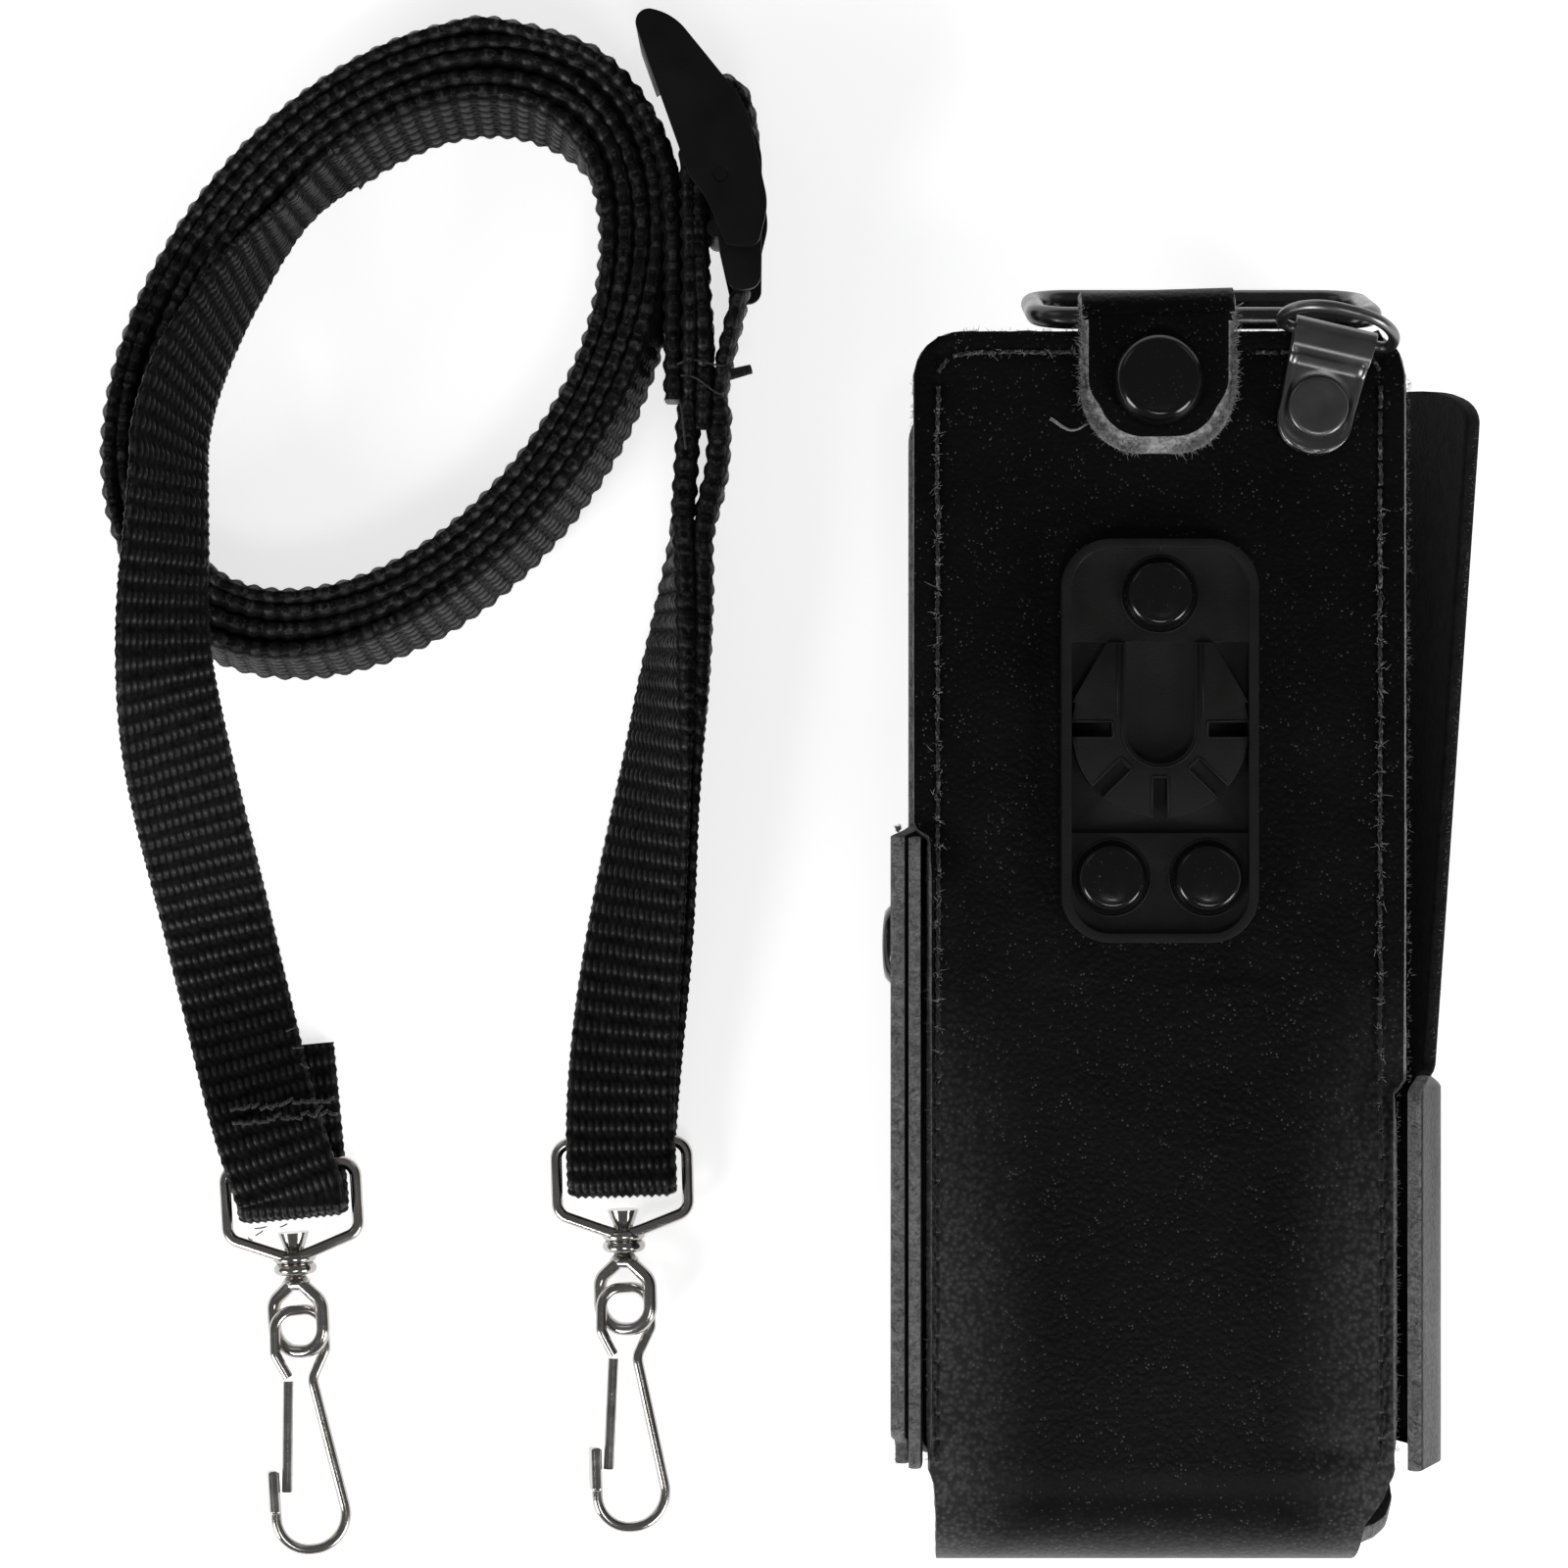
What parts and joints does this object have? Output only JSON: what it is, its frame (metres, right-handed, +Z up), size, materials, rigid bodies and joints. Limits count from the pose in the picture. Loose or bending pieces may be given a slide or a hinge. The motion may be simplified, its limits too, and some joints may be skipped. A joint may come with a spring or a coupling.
{
  "type": "leather radio carry case",
  "caption": "Upright leather carry case with a belt dock plate, snap tab, carry ring and D-ring clip, beside its coiled webbing shoulder strap with a lever adjuster and swivel snap hooks.",
  "frame": {"origin": "centre of the case's front face, on the table it lies on", "axes": "+Z up from the table, out of the case's back; +Y towards the open mouth; +X to the right seen from above"},
  "size_m": [0.1929, 0.221, 0.0518],
  "materials": {
    "leather_grain": "fine grain, low sheen",
    "leather_flesh": "rough flesh side",
    "thread": "worn twisted thread",
    "plastic_plate": "moulded, matte",
    "black_enamel": "gloss black enamel",
    "steel": "plain",
    "gunmetal": "satin black nickel",
    "webbing": "ribbed nylon webbing",
    "plastic_adjuster": "moulded, matte",
    "nickel": "bright nickel plate"
  },
  "bodies": {
    "case": {"back_panel": "leather_grain", "back_lining": "leather_flesh", "front_wrap": "leather_grain", "left_welt": "leather_flesh", "left_seam_thread": "thread", "right_seam_thread": "thread", "mouth_seam_thread": "thread", "belt_plate": "plastic_plate", "plate_rivet_top": "black_enamel", "plate_rivet_left": "black_enamel", "plate_rivet_right": "black_enamel", "plate_rivet_washers": "steel", "tab_loop": "leather_grain", "snap_stud": "steel", "ring_clip_rivet": "gunmetal", "side_snap_cap": "black_enamel", "side_snap_washer": "steel"},
    "tab": {"tab_flap": "leather_grain", "snap_cap": "black_enamel", "snap_socket": "steel"},
    "carry_ring": {"carry_ring": "gunmetal"},
    "ring_clip": {"ring_clip": "gunmetal"},
    "d_ring": {"d_ring": "gunmetal"},
    "strap": {"strap_coil": "webbing", "strap_left_run": "webbing", "strap_right_run": "webbing", "strap_adjuster_run": "webbing", "adjuster_frame": "plastic_adjuster", "adjuster_roller": "plastic_adjuster", "adjuster_pin": "steel"},
    "adjuster_lever": {"adjuster_lever": "plastic_adjuster"},
    "left_d_loop": {"left_d_loop": "nickel"},
    "left_swivel_eye": {"left_swivel_eye": "nickel"},
    "left_hook": {"left_hook": "nickel"},
    "left_gate": {"left_gate": "nickel"},
    "right_d_loop": {"right_d_loop": "nickel"},
    "right_swivel_eye": {"right_swivel_eye": "nickel"},
    "right_hook": {"right_hook": "nickel"},
    "right_gate": {"right_gate": "nickel"}
  },
  "joints": [
    {"name": "strap_lift", "type": "slide", "parent": "case", "child": "strap", "axis": [0, 0, 1], "range_m": [0, 0.06]},
    {"name": "tab_open", "type": "hinge", "parent": "case", "child": "tab", "pos_m": [-0.0005, 0.0862, 0.0419], "axis": [-1, 0, 0], "range_deg": [0, 110]},
    {"name": "carry_ring_swing", "type": "hinge", "parent": "case", "child": "carry_ring", "pos_m": [0.0065, 0.0867, 0.038], "axis": [1, 0, 0], "range_deg": [-21, 82]},
    {"name": "ring_clip_swivel", "type": "hinge", "parent": "case", "child": "ring_clip", "pos_m": [0.0211, 0.07425, 0.0412], "axis": [0, 0, 1], "range_deg": [-20, 20]},
    {"name": "d_ring_tilt", "type": "hinge", "parent": "ring_clip", "child": "d_ring", "pos_m": [0.02328, 0.0837, 0.04225], "axis": [0.9744, -0.225, 0], "range_deg": [-61, 80]},
    {"name": "adjuster_open", "type": "hinge", "parent": "strap", "child": "adjuster_lever", "pos_m": [-0.0602, 0.1086, 0.0119], "axis": [0, 0, -1], "range_deg": [0, 30]},
    {"name": "left_loop_tilt", "type": "hinge", "parent": "strap", "child": "left_d_loop", "pos_m": [-0.123, -0.0321, 0.0034], "axis": [-0.9982, -0.0593, 0], "range_deg": [-60, 38]},
    {"name": "left_swivel_spin", "type": "hinge", "parent": "left_d_loop", "child": "left_swivel_eye", "pos_m": [-0.12216, -0.04627, 0.0034], "axis": [0.0593, -0.9982, 0], "continuous": true},
    {"name": "left_hook_turn", "type": "hinge", "parent": "left_swivel_eye", "child": "left_hook", "pos_m": [-0.12154, -0.05666, 0.0034], "axis": [-0.0593, 0.9982, 0], "range_deg": [0, 95]},
    {"name": "left_gate_open", "type": "hinge", "parent": "left_hook", "child": "left_gate", "pos_m": [-0.12308, -0.06316, 0.00395], "axis": [0.2752, 0.0163, 0.9613], "range_deg": [0, 18], "stiffness_Nm_per_rad": 0.05},
    {"name": "right_loop_tilt", "type": "hinge", "parent": "strap", "child": "right_d_loop", "pos_m": [-0.0749, -0.0288, 0.0034], "axis": [-0.9997, -0.0262, 0], "range_deg": [-60, 85]},
    {"name": "right_swivel_spin", "type": "hinge", "parent": "right_d_loop", "child": "right_swivel_eye", "pos_m": [-0.07453, -0.04299, 0.0034], "axis": [0.0262, -0.9997, 0], "continuous": true},
    {"name": "right_hook_turn", "type": "hinge", "parent": "right_swivel_eye", "child": "right_hook", "pos_m": [-0.07426, -0.05339, 0.0034], "axis": [-0.0262, 0.9997, 0], "range_deg": [0, 95]},
    {"name": "right_gate_open", "type": "hinge", "parent": "right_hook", "child": "right_gate", "pos_m": [-0.07601, -0.05984, 0.00395], "axis": [0.2755, 0.0072, 0.9613], "range_deg": [0, 18], "stiffness_Nm_per_rad": 0.05}
  ]
}
